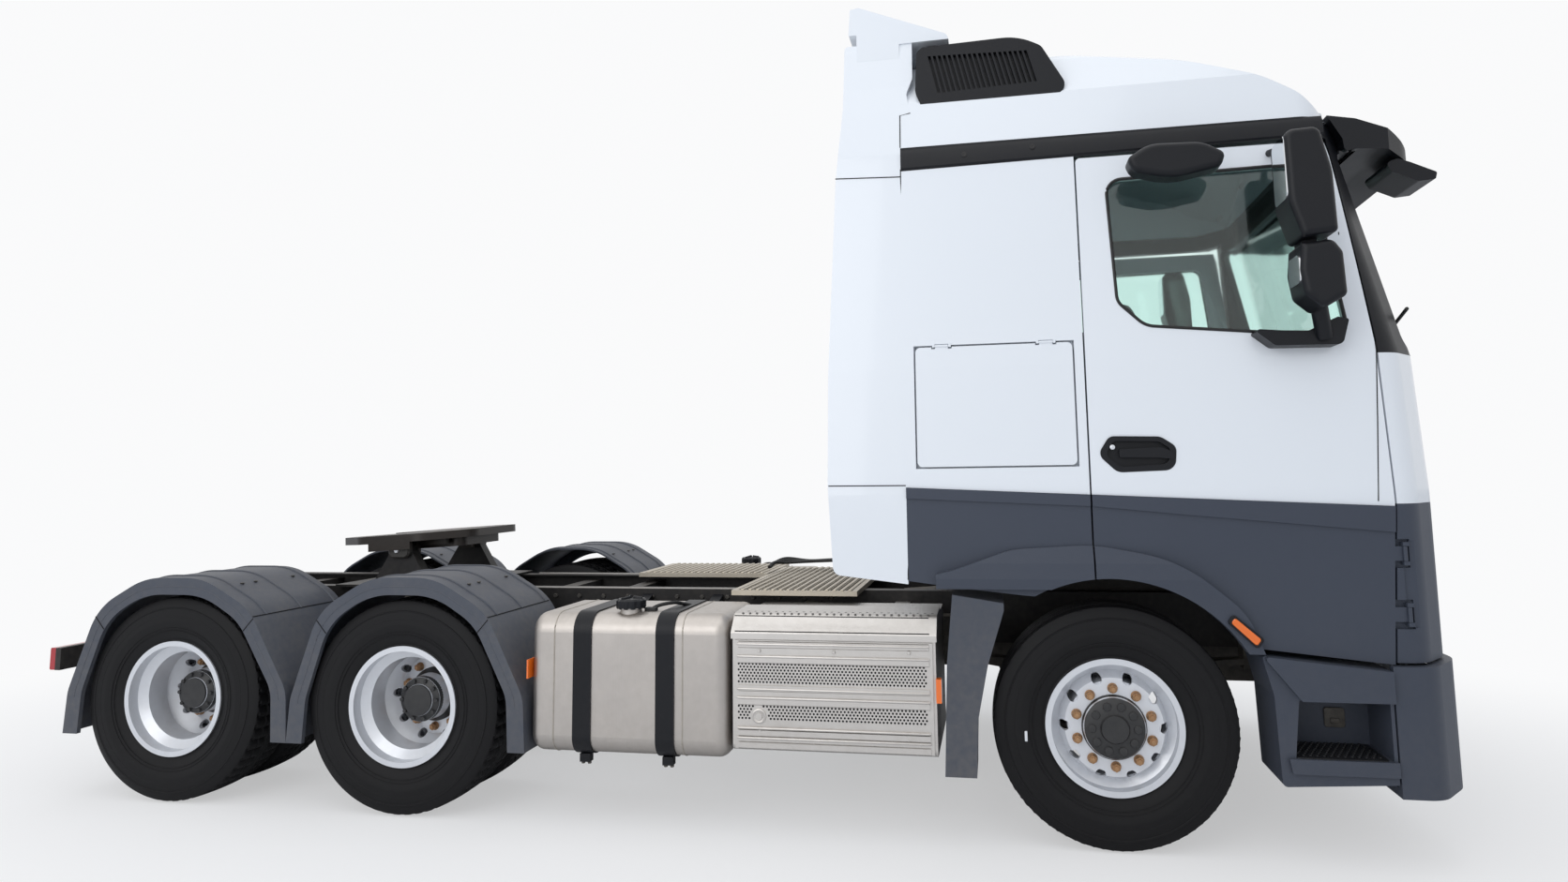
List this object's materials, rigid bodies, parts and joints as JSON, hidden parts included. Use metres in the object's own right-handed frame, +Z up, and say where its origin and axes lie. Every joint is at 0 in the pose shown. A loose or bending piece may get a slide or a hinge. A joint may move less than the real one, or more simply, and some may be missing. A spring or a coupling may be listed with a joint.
{
  "type": "semi truck tractor unit",
  "caption": "Cab-over tractor unit with tilting sleeper cab, twin driven rear axles, side tanks and a fifth-wheel coupling plate.",
  "frame": {"origin": "on the ground under the middle of the truck's overall box", "axes": "+X forward, +Y to the truck's left, +Z up"},
  "size_m": [7.2584, 3, 4.0517],
  "materials": {
    "white_paint": "clean bluish-white gloss paint",
    "grey_plastic": "slate-grey moulded cladding, satin",
    "black_plastic": "black grained moulding",
    "frame_black": "black chassis paint, dusty",
    "cast_grey": "dark cast metal, oily",
    "brushed_aluminium": "brushed, slightly stained",
    "steel_box": "bright rolled sheet, slightly stained",
    "silver_wheel": "silver wheel paint",
    "tyre": "black tyre rubber, dusty",
    "glass": "green-tinted glass",
    "lamp_amber": "amber lens",
    "lamp_lens": "lamp lenses and housings",
    "seat_fabric": "dark grey woven cloth",
    "greased_steel": "black, greased, lightly rusted at the edge"
  },
  "bodies": {
    "chassis": {"frame_rails": "frame_black", "crossmembers": "frame_black", "driveline": "cast_grey", "front_axle": "cast_grey", "leaf_springs": "cast_grey", "drive_axles": "cast_grey", "fuel_tanks": "brushed_aluminium", "tank_straps": "frame_black", "exhaust_box": "steel_box", "battery_box": "black_plastic", "air_tanks": "frame_black", "catwalk": "brushed_aluminium", "rear_mudguards": "grey_plastic", "rear_frame_tubes": "frame_black", "lamps": "lamp_lens", "fifth_wheel_pedestal": "frame_black", "bumper": "grey_plastic", "step_boxes": "grey_plastic", "front_mudguard_tails": "grey_plastic", "side_markers": "lamp_amber"},
    "fifth_wheel": {"fifth_wheel_plate": "greased_steel"},
    "cab": {"cab_floor": "black_plastic", "cab_back": "white_paint", "cab_sides": "white_paint", "cab_side_cladding": "grey_plastic", "cab_roof": "white_paint", "roof_rails_and_visor": "black_plastic", "cab_front": "white_paint", "windscreen": "glass", "front_cladding": "grey_plastic", "cab_fairings": "white_paint", "intake_grilles": "black_plastic", "seats_and_bunk": "seat_fabric", "dashboard": "black_plastic"},
    "front_flap": {"front_flap": "white_paint"},
    "door_right": {"door_right": "white_paint", "door_cladding_right": "grey_plastic", "door_glass_right": "glass", "door_mirrors_right": "black_plastic"},
    "stowage_lid_right": {"stowage_lid_right": "white_paint"},
    "knuckle_right": {"knuckle_right": "cast_grey"},
    "front_wheel_right": {"front_wheel_right": "silver_wheel", "front_tyre_right": "tyre"},
    "twin_wheel_1_right": {"twin_wheel_1_right": "silver_wheel", "twin_tyres_1_right": "tyre"},
    "twin_wheel_2_right": {"twin_wheel_2_right": "silver_wheel", "twin_tyres_2_right": "tyre"},
    "door_left": {"door_left": "white_paint", "door_cladding_left": "grey_plastic", "door_glass_left": "glass", "door_mirrors_left": "black_plastic"},
    "stowage_lid_left": {"stowage_lid_left": "white_paint"},
    "knuckle_left": {"knuckle_left": "cast_grey"},
    "front_wheel_left": {"front_wheel_left": "silver_wheel", "front_tyre_left": "tyre"},
    "twin_wheel_1_left": {"twin_wheel_1_left": "silver_wheel", "twin_tyres_1_left": "tyre"},
    "twin_wheel_2_left": {"twin_wheel_2_left": "silver_wheel", "twin_tyres_2_left": "tyre"}
  },
  "joints": [
    {"name": "cab_tilt", "type": "hinge", "parent": "chassis", "child": "cab", "pos_m": [3.37, 0, 1.06], "axis": [0, 1, 0], "range_deg": [0, 60]},
    {"name": "front_flap_lift", "type": "hinge", "parent": "cab", "child": "front_flap", "pos_m": [3.47, 0, 2.112], "axis": [0, -1, 0], "range_deg": [0, 75]},
    {"name": "fifth_wheel_pitch", "type": "hinge", "parent": "chassis", "child": "fifth_wheel", "pos_m": [-1.99, 0, 1.24], "axis": [0, 1, 0], "range_deg": [-6, 18]},
    {"name": "door_right_swing", "type": "hinge", "parent": "cab", "child": "door_right", "pos_m": [3.274, -1.197, 1.5], "axis": [0, 0, 1], "range_deg": [0, 75]},
    {"name": "stowage_lid_right_lift", "type": "hinge", "parent": "cab", "child": "stowage_lid_right", "pos_m": [1.597, -1.165, 2.255], "axis": [-1, 0, 0], "range_deg": [0, 80]},
    {"name": "steer_right", "type": "hinge", "parent": "chassis", "child": "knuckle_right", "pos_m": [2.07, -0.79, 0.53], "axis": [0, 0, 1], "range_deg": [-32, 32]},
    {"name": "front_wheel_right_roll", "type": "hinge", "parent": "knuckle_right", "child": "front_wheel_right", "pos_m": [2.07, -1.02, 0.53], "axis": [0, 1, 0], "continuous": true},
    {"name": "twin_wheel_1_right_roll", "type": "hinge", "parent": "chassis", "child": "twin_wheel_1_right", "pos_m": [-1.38, -0.91, 0.53], "axis": [0, 1, 0], "continuous": true},
    {"name": "twin_wheel_2_right_roll", "type": "hinge", "parent": "chassis", "child": "twin_wheel_2_right", "pos_m": [-2.73, -0.91, 0.53], "axis": [0, 1, 0], "continuous": true},
    {"name": "door_left_swing", "type": "hinge", "parent": "cab", "child": "door_left", "pos_m": [3.274, 1.197, 1.5], "axis": [0, 0, -1], "range_deg": [0, 75]},
    {"name": "stowage_lid_left_lift", "type": "hinge", "parent": "cab", "child": "stowage_lid_left", "pos_m": [1.597, 1.165, 2.255], "axis": [1, 0, 0], "range_deg": [0, 80]},
    {"name": "steer_left", "type": "hinge", "parent": "chassis", "child": "knuckle_left", "pos_m": [2.07, 0.79, 0.53], "axis": [0, 0, 1], "range_deg": [-32, 32]},
    {"name": "front_wheel_left_roll", "type": "hinge", "parent": "knuckle_left", "child": "front_wheel_left", "pos_m": [2.07, 1.02, 0.53], "axis": [0, 1, 0], "continuous": true},
    {"name": "twin_wheel_1_left_roll", "type": "hinge", "parent": "chassis", "child": "twin_wheel_1_left", "pos_m": [-1.38, 0.91, 0.53], "axis": [0, 1, 0], "continuous": true},
    {"name": "twin_wheel_2_left_roll", "type": "hinge", "parent": "chassis", "child": "twin_wheel_2_left", "pos_m": [-2.73, 0.91, 0.53], "axis": [0, 1, 0], "continuous": true}
  ],
  "couplings": [
    {"joint": "steer_left", "follows": "steer_right", "ratio": 1}
  ]
}
